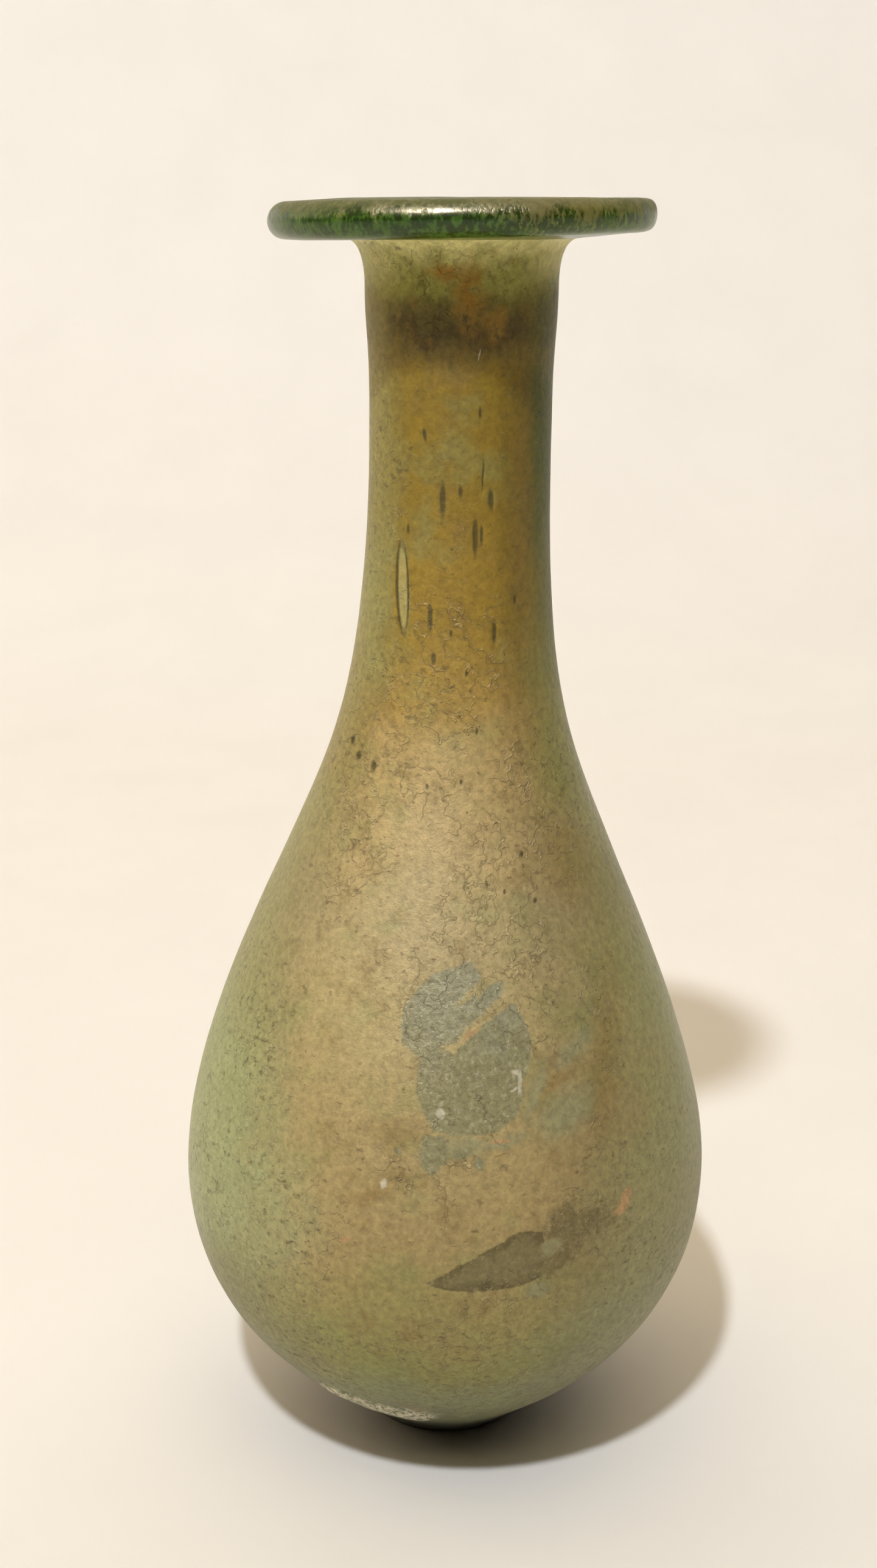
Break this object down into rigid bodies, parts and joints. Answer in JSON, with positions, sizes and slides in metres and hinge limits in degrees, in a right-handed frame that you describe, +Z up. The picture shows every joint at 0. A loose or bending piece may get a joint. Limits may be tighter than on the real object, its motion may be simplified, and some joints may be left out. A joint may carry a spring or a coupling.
{
  "type": "blown glass perfume flask",
  "caption": "Pear-shaped blown glass flask with a long narrow neck and a wide flat folded rim, standing on a small base, for holding and pouring perfumed oil.",
  "frame": {"origin": "centre of the base, on the plane that the flask stands on", "axes": "+Z up along the body towards the mouth; +X to the viewer's right when seen from the front, the side towards which the neck leans; the front faces -Y"},
  "size_m": [0.056, 0.056, 0.13],
  "materials": {
    "weathered_glass": "green blown glass under a satin tan weathering film, glossy and deep green at the rim"
  },
  "bodies": {
    "root": {"flask": "weathered_glass"}
  },
  "joints": []
}
